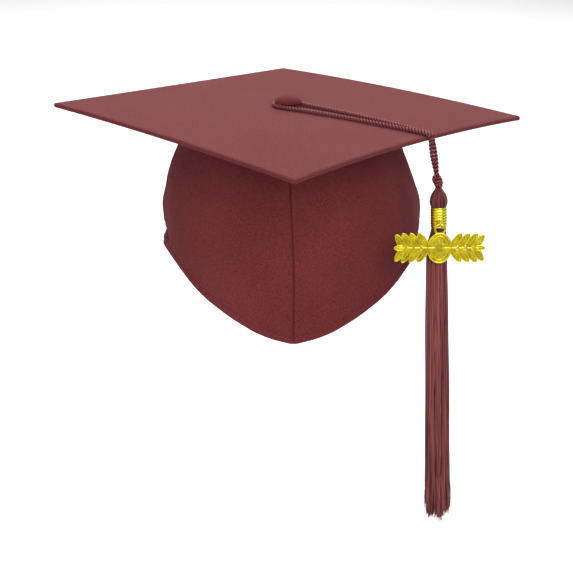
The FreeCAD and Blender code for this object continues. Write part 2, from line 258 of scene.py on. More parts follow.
def cloth(name, dark, light, weave=1700.0, rough=0.92, bump=0.25, sheen=0.25, sheen_tint=(0.9, 0.6, 0.6)):
    m, nt, b = new_mat(name)
    tc = nt.nodes.new("ShaderNodeTexCoord")
    at = tc.outputs["Object"]
    broad = noise(nt, at, 22.0, 2.0, 0.5)
    fleck = noise(nt, at, 1900.0, 3.0, 0.7)
    grain = noise(nt, at, 850.0, 2.0, 0.6)
    mixed = maths(nt, "ADD", maths(nt, "MULTIPLY", broad, 0.12), maths(nt, "ADD", maths(nt, "MULTIPLY", fleck, 0.43), maths(nt, "MULTIPLY", grain, 0.45)))
    nt.links.new(ramp(nt, mixed, [(0.33, dark), (0.67, light)]), b.inputs["Base Color"])
    w1 = node(nt, "ShaderNodeTexWave", Scale=weave, Distortion=0.6, Detail=1.0)
    w1.wave_type, w1.bands_direction = "BANDS", "DIAGONAL"
    nt.links.new(at, w1.inputs["Vector"])
    fine = noise(nt, at, 900.0, 3.0, 0.65)
    h = maths(nt, "ADD", maths(nt, "MULTIPLY", w1.outputs[1], 0.25), maths(nt, "ADD", maths(nt, "MULTIPLY", fine, 0.8), maths(nt, "MULTIPLY", grain, 1.1)))
    bp = node(nt, "ShaderNodeBump", Strength=bump, Distance=0.0006)
    nt.links.new(h, bp.inputs["Height"])
    nt.links.new(bp.outputs[0], b.inputs["Normal"])
    b.inputs["Roughness"].default_value = rough
    b.inputs["Specular IOR Level"].default_value = 0.12
    b.inputs["Sheen Weight"].default_value = sheen
    b.inputs["Sheen Roughness"].default_value = 0.45
    b.inputs["Sheen Tint"].default_value = (*sheen_tint, 1.0)
    return m


def yarn(name, dark, light, lines=1.0, twist=1.0, rough=0.5, spec=0.35, sheen=0.2, bump=0.5):
    """Thread and cord: fine fibres along the length, from the mesh's own length and angle."""
    m, nt, b = new_mat(name)
    tc = nt.nodes.new("ShaderNodeTexCoord")
    mp = node(nt, "ShaderNodeMapping")
    mp.inputs["Scale"].default_value = (0.25 * lines, 9.0, 1.0)
    mp.inputs["Rotation"].default_value = (0.0, 0.0, 0.12 * twist)
    nt.links.new(tc.outputs["UV"], mp.inputs[0])
    fibre = noise(nt, mp.outputs[0], 3.0, 4.0, 0.7)
    mp2 = node(nt, "ShaderNodeMapping")
    mp2.inputs["Scale"].default_value = (0.0061, 0.0, 1.0)
    nt.links.new(tc.outputs["UV"], mp2.inputs[0])
    strand = noise(nt, mp2.outputs[0], 1.0, 1.0, 0.5)
    mixed = maths(nt, "ADD", maths(nt, "MULTIPLY", fibre, 0.28), maths(nt, "MULTIPLY", strand, 0.72))
    nt.links.new(ramp(nt, mixed, [(0.38, dark), (0.60, light)]), b.inputs["Base Color"])
    bp = node(nt, "ShaderNodeBump", Strength=bump, Distance=0.0002)
    nt.links.new(fibre, bp.inputs["Height"])
    nt.links.new(bp.outputs[0], b.inputs["Normal"])
    b.inputs["Roughness"].default_value = rough
    b.inputs["Specular IOR Level"].default_value = spec
    b.inputs["Sheen Weight"].default_value = sheen
    b.inputs["Sheen Tint"].default_value = (1.0, 0.7, 0.7, 1.0)
    return m


def plied_painted_shading(name, dark, mid, light):
    """Twisted cord: painted shade in the groove between its plies, painted light on the outside of each."""
    m, nt, b = new_mat(name)
    tc = nt.nodes.new("ShaderNodeTexCoord")
    sep = nt.nodes.new("ShaderNodeSeparateXYZ")
    nt.links.new(tc.outputs["UV"], sep.inputs[0])
    # painted shade on the side of each ply that faces the cord's middle, painted light on its outer side
    out = maths(nt, "MULTIPLY", maths(nt, "COSINE", maths(nt, "MULTIPLY", sep.outputs[1], 2 * math.pi)), -0.5)
    mp = node(nt, "ShaderNodeMapping")
    mp.inputs["Scale"].default_value = (0.5, 22.0, 1.0)
    mp.inputs["Rotation"].default_value = (0.0, 0.0, 0.15)
    nt.links.new(tc.outputs["UV"], mp.inputs[0])
    fibre = noise(nt, mp.outputs[0], 1.6, 3.0, 0.6)
    mixed = maths(nt, "ADD", maths(nt, "ADD", out, 0.28), maths(nt, "MULTIPLY", fibre, 0.44))
    nt.links.new(ramp(nt, mixed, [(0.25, dark), (0.62, mid), (0.98, light)]), b.inputs["Base Color"])
    bp = node(nt, "ShaderNodeBump", Strength=0.6, Distance=0.0002)
    nt.links.new(fibre, bp.inputs["Height"])
    nt.links.new(bp.outputs[0], b.inputs["Normal"])
    b.inputs["Roughness"].default_value = 0.5
    b.inputs["Specular IOR Level"].default_value = 0.2
    return m


def ply_tube(path, centre, r, sides=12):
    """One ply as a tube whose angle is counted from the side that faces the cord's middle."""
    T = np.gradient(path, axis=0)
    T /= np.linalg.norm(T, axis=1, keepdims=True) + 1e-12
    n = centre - path
    n -= (n * T).sum(1, keepdims=True) * T
    n /= np.linalg.norm(n, axis=1, keepdims=True) + 1e-12
    b = np.cross(T, n)
    a = np.arange(sides) * 2 * math.pi / sides
    V = path[:, None] + r * (np.cos(a)[None, :, None] * n[:, None] + np.sin(a)[None, :, None] * b[:, None])
    L = np.concatenate([[0], np.cumsum(np.linalg.norm(np.diff(path, axis=0), axis=1))])
    m = len(path)
    uv = np.stack([np.broadcast_to(L[:, None], (m, sides)), np.broadcast_to(a[None] / (2 * math.pi), (m, sides))], -1)
    F = [tuple(f) for f in grid_faces(m, sides, wrap_m=True, flip=True)]
    F += [tuple(range(sides)), tuple(range(m * sides - 1, (m - 1) * sides - 1, -1))]
    return V.reshape(-1, 3), F, uv.reshape(-1, 2)


def metal(name, dark, light, rough=(0.18, 0.34), stipple=0.0, bump=0.15):
    m, nt, b = new_mat(name)
    tc = nt.nodes.new("ShaderNodeTexCoord")
    at = tc.outputs["Object"]
    n = noise(nt, at, 160.0, 3.0, 0.6)
    nt.links.new(ramp(nt, n, [(0.3, dark), (0.7, light)]), b.inputs["Base Color"])
    b.inputs["Metallic"].default_value = 1.0
    rr = nt.nodes.new("ShaderNodeMapRange")
    rr.inputs["To Min"].default_value, rr.inputs["To Max"].default_value = rough
    nt.links.new(noise(nt, at, 420.0, 3.0, 0.6), rr.inputs["Value"])
    nt.links.new(rr.outputs[0], b.inputs["Roughness"])
    if stipple:
        vo = node(nt, "ShaderNodeTexVoronoi", Scale=stipple)
        nt.links.new(at, vo.inputs["Vector"])
        h = vo.outputs[0]
    else:
        h = noise(nt, at, 900.0, 2.0, 0.5)
    bp = node(nt, "ShaderNodeBump", Strength=bump, Distance=0.0003)
    nt.links.new(h, bp.inputs["Height"])
    nt.links.new(bp.outputs[0], b.inputs["Normal"])
    return m


# the cap's outer cloth is one cloth in two copies: the copy for the board and button is painted darker, as painted
# shade, and the crown's copy is painted lighter, as painted light, for how the light falls on each
M_CLOTH_PAINTED_DARKER = cloth("maroon_cloth", (0.100, 0.011, 0.012), (0.182, 0.033, 0.036), sheen=0.30, bump=0.6, sheen_tint=(0.52, 0.32, 0.33))
M_CROWN_PAINTED_LIGHTER = cloth("maroon_cloth_crown_painted_lighter", (0.122, 0.014, 0.016), (0.245, 0.049, 0.053), sheen=0.10, bump=0.7, sheen_tint=(0.50, 0.24, 0.25))
M_CLOTH_IN = cloth("maroon_cloth_inside", (0.11, 0.022, 0.024), (0.165, 0.040, 0.042), sheen=0.2, bump=0.4, sheen_tint=(0.6, 0.35, 0.36))
M_INTER = cloth("interfacing", (0.12, 0.035, 0.038), (0.16, 0.05, 0.052), weave=600.0, bump=0.4, sheen=0.05)
M_STITCH = yarn("stitch_thread", (0.060, 0.008, 0.009), (0.12, 0.020, 0.022), rough=0.6)
# the cord's plies: painted shade in their grooves, painted light on their outer sides
M_CORD_PAINTED_SHADING = plied_painted_shading("cord_yarn_painted_shading", (0.004, 0.0004, 0.0004), (0.026, 0.002, 0.003), (0.26, 0.058, 0.063))
# painted shade: a near-black thread colour for the cores that stand for the shade deep inside the thread masses
M_THREAD_PAINTED_SHADE = yarn("thread_painted_shade", (0.030, 0.004, 0.005), (0.060, 0.009, 0.010), rough=0.7, spec=0.1, sheen=0.0)
M_THREAD = yarn("tassel_thread", (0.036, 0.0035, 0.0045), (0.385, 0.108, 0.109), rough=0.55, spec=0.2, sheen=0.0)
M_HEAD = yarn("tassel_head_thread", (0.010, 0.001, 0.001), (0.26, 0.060, 0.062), rough=0.5, spec=0.25, sheen=0.0)
M_GOLD = metal("gold_plate", (0.84, 0.67, 0.030), (1.0, 0.90, 0.085), rough=(0.26, 0.38), bump=0.03)
M_GOLD_FIELD = metal("gold_plate_stippled", (0.30, 0.20, 0.006), (0.82, 0.66, 0.025), rough=(0.36, 0.55), stipple=1500.0, bump=1.0)
M_STEEL = metal("plated_steel", (0.42, 0.42, 0.41), (0.62, 0.62, 0.60), rough=(0.3, 0.5))
M_BOARD = cloth("stiff_board", (0.02, 0.018, 0.017), (0.05, 0.045, 0.04), weave=300.0, sheen=0.0)
M_ELASTIC = cloth("elastic_webbing", (0.6, 0.58, 0.55), (0.75, 0.73, 0.70), weave=900.0, sheen=0.05)

for name_, mat in {"cap_cloth": M_CLOTH_IN, "board": M_BOARD, "interfacing": M_INTER, "elastic": M_ELASTIC, "button_metal": M_STEEL,
                   "button_base": M_CLOTH_PAINTED_DARKER, "cord": M_CORD_PAINTED_SHADING, "threads": M_THREAD, "gold_metal": M_GOLD}.items():
    for sub in frame["record"]["subparts"]:
        if sub["material_slot"] == name_:
            ob = bpy.data.objects.get(sub["node"])
            if ob is not None:
                if not ob.material_slots:
                    ob.data.materials.append(mat)
                for sl in ob.material_slots:
                    sl.material = mat


def finish_piece(ob, body, slot, mat, *nodes):
    ob.data.materials.clear()
    ob.data.materials.append(mat)
    if body is not None:
        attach(ob, body)
    if nodes:
        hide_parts(*nodes)
    return ob


# ------------------------------------------------------------------ the board's cloth
HALF = BOARD / 2
edge_wave = Waves(3, 9, 0.10, 0.24)
edge_wave2 = Waves(5, 6, 0.02, 0.05)
broad = Waves(11, 10, 0.006, 0.02, dims=2)


def square_point(u, v, a, r):
    """A point of the unit square on a square of half-size a whose corners are rounded to r."""
    x, y = u * a, v * a
    dx, dy = np.abs(x) - (a - r), np.abs(y) - (a - r)
    zone = (dx > 0) & (dy > 0)
    m = np.maximum(dx, dy)
    d = np.hypot(dx, dy) + 1e-12
    nx = np.where(zone, np.sign(x) * (a - r + dx / d * m), x)
    ny = np.where(zone, np.sign(y) * (a - r + dy / d * m), y)
    return nx, ny


def to_cap(a, b, drop):
    """From the square's own axes to the frame, on the board's face and `drop` below it."""
    x, y = BX + R2 * (a + b), R2 * (a - b)
    return np.stack([x, y, BZ - sag(x, y) - drop], -1)


def board_sheet(name, n, rings, base_drop, flip, amp):
    t = np.linspace(-1, 1, n)
    # finer towards the edges
    t = np.sign(t) * (1 - (1 - np.abs(t)) ** 1.25)
    U, Vv = np.meshgrid(t, t, indexing="ij")
    a0, r0, d0 = rings[0]
    X, Y = square_point(U, Vv, HALF - a0, max(CORNER_R - a0, 0.6))
    near = HALF - np.maximum(np.abs(X), np.abs(Y))
    along = np.where(np.abs(X) > np.abs(Y), Y, X)
    ripple = amp * (0.10 * edge_wave(along) * np.exp(-near / 3.5) + 0.08 * edge_wave2(along) * np.exp(-near / 16.0) + 0.05 * broad(X, Y))
    fade = smooth(0.0, 2.0, near - a0)
    P = to_cap(X, Y, base_drop + d0 - ripple * fade)
    V = [P.reshape(-1, 3)]
    F = [grid_faces(n, n, flip=not flip)]
    ring = [(i, 0) for i in range(n)] + [(n - 1, j) for j in range(1, n)] + [(i, n - 1) for i in range(n - 2, -1, -1)] + [(0, j) for j in range(n - 2, 0, -1)]
    ru = np.array([t[i] for i, j in ring])
    rv = np.array([t[j] for i, j in ring])
    last = np.array([i * n + j for i, j in ring])
    count = n * n
    for a, r, d in rings[1:]:
        x, y = square_point(ru, rv, HALF - a, max(CORNER_R - a, 0.6))
        al = np.where(np.abs(x) > np.abs(y), y, x)
        side = 0.05 * amp * edge_wave(al + 7)
        V.append(to_cap(x, y, base_drop + d + side))
        now = np.arange(count, count + len(ring))
        nxt = np.roll(now, -1)
        lnx = np.roll(last, -1)
        q = np.stack([last, now, nxt, lnx], -1)
        F.append(q if not flip else q[:, ::-1])
        last, count = now, count + len(ring)
    return make(name, np.concatenate(V), np.concatenate(F))


top_rings = [(1.5, 0, 0.0), (0.95, 0, 0.05), (0.55, 0, 0.18), (0.26, 0, 0.42), (0.08, 0, 0.8), (0.0, 0, 1.25), (0.0, 0, 1.75), (0.06, 0, 2.2),
             (0.2, 0, 2.55), (0.42, 0, 2.78), (0.62, 0, 2.84), (0.9, 0, 2.7)]
top_cloth = board_sheet("board_cloth_top", 190, top_rings, 0.0, False, 1.0)
finish_piece(top_cloth, "cap", "cap_cloth", M_CLOTH_PAINTED_DARKER, "board_top_cover", "board_edge_seam")
under_rings = [(1.9, 0, 0.0), (1.2, 0, -0.03), (0.75, 0, -0.14), (0.45, 0, -0.34), (0.4, 0, -0.55), (0.65, 0, -0.7)]
under_cloth = board_sheet("board_cloth_under", 120, under_rings, BOARD_T, True, -1.0)
finish_piece(under_cloth, "cap", "cap_cloth", M_CLOTH_PAINTED_DARKER, "board_under_cover")


# ------------------------------------------------------------------ the crown
def wall(deg, depth, off):
    deg = np.asarray(deg, float)
    t = np.clip(np.asarray(depth, float) / 110.0, 0, 1)
    near = np.clip(1 - np.abs(deg) / JOIN, 0, 1) ** 2
    deg = deg + (-2.6 * (1 - t * t * (3 - 2 * t)) - 0.4) * near
    p = np.radians(deg)
    s, c = np.sin(p), np.cos(p)
    a = np.where(s > 0, table(HALF_RIGHT, depth), table(HALF_LEFT, depth)) - off
    b = np.where(c > 0, table(HALF_FRONT, depth), table(HALF_BACK, depth)) - off
    return np.stack([a * s, -b * c, BZ - depth], -1)


def hem_of(deg):
    d = np.abs(((np.asarray(deg, float) + 180) % 360) - 180)
    return table(HEM, d)


def top_of(deg):
    p = wall(deg, 4.0 + 0 * deg, 0.0)
    return BOARD_T + sag(p[..., 0], p[..., 1])


STITCH_H = 6.0
low_wrinkle = Waves(21, 14, 0.008, 0.030, dims=2)
mid_wrinkle = Waves(23, 16, 0.03, 0.07, dims=2)
pucker = Waves(29, 8, 0.22, 0.36)


def side_pull(deg):
    """How strongly the elastic's end gathers the cloth, by angle from the front."""
    d = np.abs(((np.asarray(deg, float) + 180) % 360) - 180)
    return smooth(71, 84, d)


def left_trim(depth):
    return 1.3 * np.exp(-(((depth - 78.0) / 20.0) ** 2)) - 0.5 * np.exp(-(((depth - 42.0) / 13.0) ** 2)) + 1.4 * np.exp(-(((depth - 8.0) / 13.0) ** 2))


def front_off(deg, hd, depth):
    """How far the front panels' face lies inside the plain wall; hd is the height above the lower edge."""
    arc = np.radians(np.abs(deg)) * 93.0
    deep = 0.25 + 0.75 * smooth(1.0, 9.0, hd)
    off = deep * (1.15 * np.exp(-((arc / 0.46) ** 2)) + 0.25 * np.exp(-((arc / 1.5) ** 2))) - 0.15 * np.exp(-(((arc - 4.0) / 2.2) ** 2))
    side = np.radians(JOIN - np.abs(deg)) * 95.0
    off = off + 1.0 * np.exp(-((side / 0.8) ** 2)) - 0.25 * np.exp(-(((side - 3.5) / 2.0) ** 2))
    line = np.exp(-(((hd - STITCH_H) / 0.8) ** 2))
    pull = side_pull(deg)
    s = np.radians(deg) * 93.0
    off = off + 0.32 * line + (0.16 * pucker(s) * np.exp(-(((hd - STITCH_H) / 2.6) ** 2)))
    off = off - 0.20 * np.sin(np.pi * np.clip(hd / STITCH_H, 0, 1))
    off = off + pull * (4.6 * np.exp(-(((hd - 8.6) / 3.2) ** 2)) - 1.1 * smooth(7.0, 0.0, hd))
    off = off + smooth(50, 78, -np.asarray(deg, float)) * left_trim(depth)
    off = off - (0.30 * low_wrinkle(s, depth) + 0.10 * mid_wrinkle(s, depth)) * smooth(0, 14, arc) * smooth(0, 10, hd)
    return off


def panel(name, sgn):
    cols = 300
    a = np.linspace(0, 1, cols)
    deg = (0.004 + (JOIN - 0.024) * (a ** 1.3)) * sgn
    rows = []
    hem = hem_of(deg)
    top = top_of(deg)
    n = 170
    q = np.linspace(0, 1, n)
    q = 1 - (1 - q) ** 1.12
    for k in range(n):
        depth = top - 0.25 + (hem - 0.4 - top + 0.25) * q[k]
        rows.append(wall(deg, depth, front_off(deg, hem - depth, depth)))
    base = front_off(deg, 0.0 * hem, hem)
    for up, off in ((0.12, 0.12), (-0.1, 0.45), (-0.18, 0.9), (-0.16, 1.5), (0.02, 2.05), (0.5, 2.5), (2.0, 2.72), (5.0, 2.78), (8.2, 2.78), (8.9, 2.7), (9.1, 2.4), (9.1, 1.85)):
        depth = hem - up
        here = front_off(deg, np.full_like(hem, max(up, 0.0)), depth)
        rows.append(wall(deg, depth, base + (here - base) * smooth(0.0, 1.5, up) + off))
    P = np.stack(rows, 1)          # cols, rows
    ob = make(name, P.reshape(-1, 3), grid_faces(cols, P.shape[1], flip=(sgn > 0)))
    return ob


for side_name, sgn in (("right", 1), ("left", -1)):
    ob = panel("crown_cloth_" + side_name, sgn)
    finish_piece(ob, "cap", "cap_cloth", M_CROWN_PAINTED_LIGHTER, "crown_panel_" + side_name, "hem_" + side_name)
    a = np.linspace(0.4, JOIN - 0.5, 150) * sgn
    hem, top = hem_of(a), top_of(a)
    rows = []
    for off, order in ((1.02, 1), (1.66, -1)):
        for q in np.linspace(0, 1, 110)[::order]:
            depth = top + 0.2 + (hem - 1.0 - top - 0.2) * q
            rows.append(wall(a, depth, front_off(a, hem - depth, depth) + off))
    P = np.stack(rows + [rows[0]], 1)
    inter = make("crown_interfacing_" + side_name, P.reshape(-1, 3), grid_faces(150, P.shape[1], flip=(sgn > 0)))
    finish_piece(inter, "cap", "interfacing", M_INTER, "crown_stiffener_" + side_name)

# the back: gathered by its elastic, bloused above it
B0, B1 = JOIN + 0.02, 360 - JOIN - 0.02
folds = Waves(41, 5, 0.105, 0.16)
folds2 = Waves(43, 6, 0.05, 0.09)
CASE_H = 9.0


def back_off(deg, hd, depth):
    s = np.radians(deg - 180) * 90.0
    end = np.minimum(deg - B0, B1 - deg)
    grow = smooth(0.0, 9.0, end)
    line = np.exp(-(((hd - 8.0) / 1.3) ** 2))
    amp = 1.15 * np.exp(-np.clip(hd - 8.0, 0, None) / 16.0) * (1 - 0.45 * line) * (0.35 + 0.65 * smooth(0, 5, hd + 2.5))
    off = -grow * amp * (folds(s) + 0.45 * folds2(s + 0.15 * hd))
    off = off + 1.5 * line * (0.5 + 0.5 * grow)
    off = off - grow * 2.4 * np.exp(-(((hd - 27.0) / 13.0) ** 2))
    off = off - 0.9 * smooth(7.0, 0.0, hd) * (1 - 0.6 * grow)
    off = off + 4.3 * (1 - smooth(4.0, 25.0, end)) * np.exp(-(((hd - 8.6) / 3.2) ** 2))
    off = off + smooth(20.0, 0.0, B1 - deg) * left_trim(depth)
    off = off - 0.55 * low_wrinkle(s, depth) * grow * smooth(4, 20, hd)
    off = off + 1.0 * np.exp(-((np.radians(end) * 95 / 0.8) ** 2))
    return off


cols, n = 520, 130
deg = np.linspace(B0, B1, cols)
hem, top = hem_of(deg), top_of(deg)
q = np.linspace(0, 1, n)
q = 1 - (1 - q) ** 1.5
rows = []
for k in range(n):
    depth = top - 0.25 + (hem - 0.3 - top + 0.25) * q[k]
    rows.append(wall(deg, depth, back_off(deg, hem - depth, depth)))
base = back_off(deg, 0.0 * hem, hem)
for up, off in ((0.1, 0.15), (-0.1, 0.5), (-0.15, 1.0), (-0.1, 1.7), (0.1, 2.3), (0.6, 2.75), (2.5, 3.15), (5.0, 3.25), (7.2, 3.05), (8.2, 3.0), (9.0, 3.05), (9.3, 2.8), (9.35, 2.3), (9.3, 1.4)):
    here = back_off(deg, np.full_like(hem, max(up, 0.0)), hem - up)
    rows.append(wall(deg, hem - up, base + (here - base) * smooth(0.0, 1.5, up) + off))
P = np.stack(rows, 1)
back = make("crown_cloth_back", P.reshape(-1, 3), grid_faces(cols, P.shape[1], flip=True))
finish_piece(back, "cap", "cap_cloth", M_CROWN_PAINTED_LIGHTER, "back_panel", "elastic_casing")
a = np.linspace(B0 + 1.0, B1 - 1.0, 520)
hem = hem_of(a)
rows = []
for off, order in ((1.0, 1), (2.0, -1)):
    for up in np.linspace(1.7, 7.0, 12)[::order]:
        rows.append(wall(a, hem - up, back_off(a, up + 0 * hem, hem - up) + off))
P = np.stack(rows + [rows[0]], 1)
webbing = make("elastic_webbing", P.reshape(-1, 3), grid_faces(520, P.shape[1], flip=False))
finish_piece(webbing, "cap", "elastic", M_ELASTIC, "elastic_band")


# stitches: short runs of thread lying in their line
def stitches(name, line, pitch, length, r, body="cap"):
    """line is a run of points; one stitch each pitch."""
    L = np.concatenate([[0], np.cumsum(np.linalg.norm(np.diff(line, axis=0), axis=1))])
    starts = np.arange(0.6, L[-1] - length - 0.5, pitch)
    bend = np.array([0.0, 0.12, 0.5, 0.88, 1.0])
    rad = np.array([0.35, 0.85, 1.0, 0.85, 0.35]) * r
    runs = []
    for s0 in starts:
        at = s0 + bend * length
        runs.append(np.stack([np.interp(at, L, line[:, i]) for i in range(3)], -1))
    V, F, uv = tubes(np.array(runs), rad[None, :], 6)
    ob = make(name, V, F, uv)
    return finish_piece(ob, body, "cap_cloth", M_STITCH)


for side_name, sgn in (("right", 1), ("left", -1)):
    d = np.linspace(0.6, JOIN - 0.6, 900) * sgn
    hem = hem_of(d)
    depth = hem - STITCH_H
    line = wall(d, depth, front_off(d, STITCH_H + 0 * hem, depth) - 0.10)
    stitches("topstitch_" + side_name, line, 3.0, 2.35, 0.21)
d = np.linspace(B0 + 0.4, B1 - 0.4, 1600)
hem = hem_of(d)
for k, up in enumerate((8.0,)):
    line = wall(d, hem - up, back_off(d, up + 0 * hem, hem - up) - 0.10)
    stitches("casing_stitch_%d" % k, line, 3.0, 2.3, 0.21)

# seams inside: pressed-open allowances
for nm, c, w in (("front_seam_allowance", 0.0, 6.5), ("side_seam_left", -JOIN, 5.5), ("side_seam_right", JOIN, 5.5)):
    half = math.degrees(w / 92.0)
    dd = np.linspace(c - half, c + half, 41)
    hem = hem_of(dd)
    top = top_of(dd)
    rows = []
    n = 90
    x = (dd - c) / half
    base_in = 1.9 if c == 0 else (3.0 if True else 0)
    fold = 0.55 * np.exp(-((x / 0.08) ** 2))
    lift = 0.25 * np.abs(x) ** 6
    for k in range(n):
        depth = top + 0.3 + (hem - 9.6 - top) * k / (n - 1)
        s = depth
        wav = 0.12 * mid_wrinkle(dd, s) * np.abs(x) + (0.0 if c == 0 else 4.6 * np.exp(-(((hem - depth - 8.6) / 3.2) ** 2)))
        rows.append(wall(dd, depth, base_in - fold + lift + wav + 0.5))
    for off in (0.35, 0.05):
        rows.append(wall(dd, hem - 9.3, base_in + off + (0.0 if c == 0 else 4.4)))
    P = np.stack(rows, 1)
    ob = make(nm + "_cloth", P.reshape(-1, 3), grid_faces(41, P.shape[1]))
    finish_piece(ob, "cap", "cap_cloth", M_CLOTH_IN, nm)

# ------------------------------------------------------------------ the button
NECK_H, BR, BH = 3.3, 9.6, 6.6
prof = [(BR - 2.9, BZ + NECK_H + 0.34), (BR - 2.0, BZ + NECK_H + 0.12), (BR - 1.1, BZ + NECK_H + 0.02), (BR - 0.5, BZ + NECK_H + 0.12), (BR - 0.16, BZ + NECK_H + 0.38), (BR - 0.02, BZ + NECK_H + 0.75)]
cz = BZ + NECK_H + 1.05
for i in range(1, 33):
    t = math.radians(90.0 * i / 32)
    prof.append((BR * math.cos(t) ** 0.90 if i < 32 else 0.0, cz + (BH - 1.05) * math.sin(t)))


def rumple(a, r, z):
    k = smooth(5.8, 9.2, r)
    rr = r * (1 + 0.004 * np.sin(3 * a + 1.0) + 0.004 * k * np.sin(17 * a) + 0.003 * k * np.sin(29 * a + 2))
    return rr, z + 0.06 * k * np.sin(23 * a + 1) + 0.05 * np.sin(2 * a) * (1 - k)


V, F = lathe(prof, 160, BX, 0.0, rumple)
btn = make("button_cloth", V, F)
finish_piece(btn, "cap", "cap_cloth", M_CLOTH_PAINTED_DARKER, "button_cover")

# ------------------------------------------------------------------ the cord
ex, ey = BX + H * EDGE_SHARE, -H * (1 - EDGE_SHARE)
far = math.hypot(ex - BX, ey)
ux, uy = (ex - BX) / far, ey / far
LIFT = CORD_D / 2 + 0.65
nx, ny, tx, ty = R2, -R2, R2, R2
OUT = 1.2 + CORD_D / 2
zE = BZ - float(sag(ex, ey))
T0 = np.array([ex + nx * OUT, ey + ny * OUT, zE - 2.0])
cL, sL = math.cos(LEAN), math.sin(LEAN)


def on_board(u, v):
    x, y = BX + ux * u - uy * v, uy * u + ux * v
    return (x, y, BZ - float(sag(x, y)) + LIFT)


sd, cd = math.sin(DROP_LEAN), math.cos(DROP_LEAN)
HINGE = T0 + np.array([nx * sd, ny * sd, -cd]) * HINGE_S
T1 = HINGE - np.array([sL, 0.0, -cL]) * HINGE_S


def hang(p):
    """From the tassel's own axis (downwards is -z) to the frame."""
    p = np.asarray(p, float)
    x, y, z = p[..., 0], p[..., 1], p[..., 2]
    return np.stack([T1[0] + x * cL - z * sL, T1[1] + y, T1[2] + x * sL + z * cL], -1)


def dropped(p):
    """From the twisted cord's own axis, which stands out from the edge, to the frame."""
    p = np.asarray(p, float)
    a = np.array([-tx, -ty, 0.0])
    return T0 + p * cd + np.cross(np.broadcast_to(a, p.shape), p) * sd + (p @ a)[..., None] * a * (1 - cd)


def hung(x, y, s):
    return tuple(float(q) for q in dropped(np.array([x, y, -s])))


k = CORD_D / 2 + 0.02
LOOP = [(116.6, -1.4), (107.0, -1.9), (86.0, -3.8), (70.0, -4.9), (39.0, -6.7), (10.0, -9.0), (-3.5, -9.7), (-11.0, -4.6),
        (-11.0, 4.6), (-3.5, 9.7), (10.0, 9.0), (39.0, 6.7), (70.0, 4.9), (86.0, 3.8), (107.0, 1.9), (116.6, 1.4)]
zc = zE + LIFT
route = [hung(-tx * k, -ty * k, 24.0), hung(-tx * k, -ty * k, 12.0), hung(-tx * k, -ty * k, 0.0), (T0[0] - tx * k, T0[1] - ty * k, zc - 0.35)]
route += [on_board(u, v) for u, v in LOOP]
route += [(T0[0] + tx * k, T0[1] + ty * k, zc - 0.35), hung(tx * k, ty * k, 0.0), hung(tx * k, ty * k, 12.0), hung(tx * k, ty * k, 24.0)]

cu = bpy.data.curves.new("route", "CURVE")
cu.dimensions = "3D"
sp = cu.splines.new("NURBS")
sp.points.add(len(route) - 1)
for p, c in zip(sp.points, route):
    p.co = (c[0] * MM, c[1] * MM, c[2] * MM, 1.0)
sp.order_u = 3
sp.use_endpoint_u = True
cu.resolution_u = 24
tmp = bpy.data.objects.new("route", cu)
bpy.context.scene.collection.objects.link(tmp)
bpy.context.view_layer.update()
me = bpy.data.meshes.new_from_object(tmp.evaluated_get(bpy.context.evaluated_depsgraph_get()))
line = np.array([v.co[:] for v in me.vertices]) / MM
bpy.data.meshes.remove(me)
bpy.data.objects.remove(tmp)
bpy.data.curves.remove(cu)
L = np.concatenate([[0], np.cumsum(np.linalg.norm(np.diff(line, axis=0), axis=1))])
total = float(L[-1])
m = 1201
even = np.linspace(0, total, m)
C = np.stack([np.interp(even, L, line[:, i]) for i in range(3)], -1)
# the two hanging strands wind round each other
mate = C[::-1]
mid, arm = (C + mate) / 2, (C - mate) / 2
from_end = np.minimum(even, total - even)
hang_len = 24.0
turn = -2 * math.pi * 0.34 * np.clip((hang_len + 2.0 - from_end) / hang_len, 0, 1) ** 1.3
axis = np.array([-nx * sd, -ny * sd, cd])
arm_n = np.linalg.norm(arm, axis=1, keepdims=True)
wind = smooth(0, 6, hang_len + 2.0 - from_end)[:, None]
target = arm * (1 - wind) + arm / np.maximum(arm_n, 1e-9) * 1.32 * wind
cs, sn = np.cos(turn)[:, None], np.sin(turn)[:, None]
rot = target * cs + np.cross(axis, target) * sn + axis * (target @ axis)[:, None] * (1 - cs)
S = np.where(from_end[:, None] < hang_len + 2.0, mid + rot, C)
T, N, B = frames(S[None])
T, N, B = T[0], N[0], B[0]
PLY_R, PLY_OFF, PLY_PITCH = 0.84, 0.70, 5.2
V_all, F_all, uv_all, at = [], [], [], 0
for ply in (0, 1):
    a = even / PLY_PITCH * 2 * math.pi + math.pi * ply
    path = S + PLY_OFF * (np.cos(a)[:, None] * N + np.sin(a)[:, None] * B)
    V, F, uv = ply_tube(path, S, PLY_R)
    V_all.append(V)
    F_all += [tuple(i + at for i in f) for f in F]
    uv_all.append(uv)
    at += len(V)
cord = make("tassel_cord", np.concatenate(V_all), F_all, np.concatenate(uv_all))
finish_piece(cord, None, "cord", M_CORD_PAINTED_SHADING, "tassel_cord_loop", "tassel_cord_drop")
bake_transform(cord)


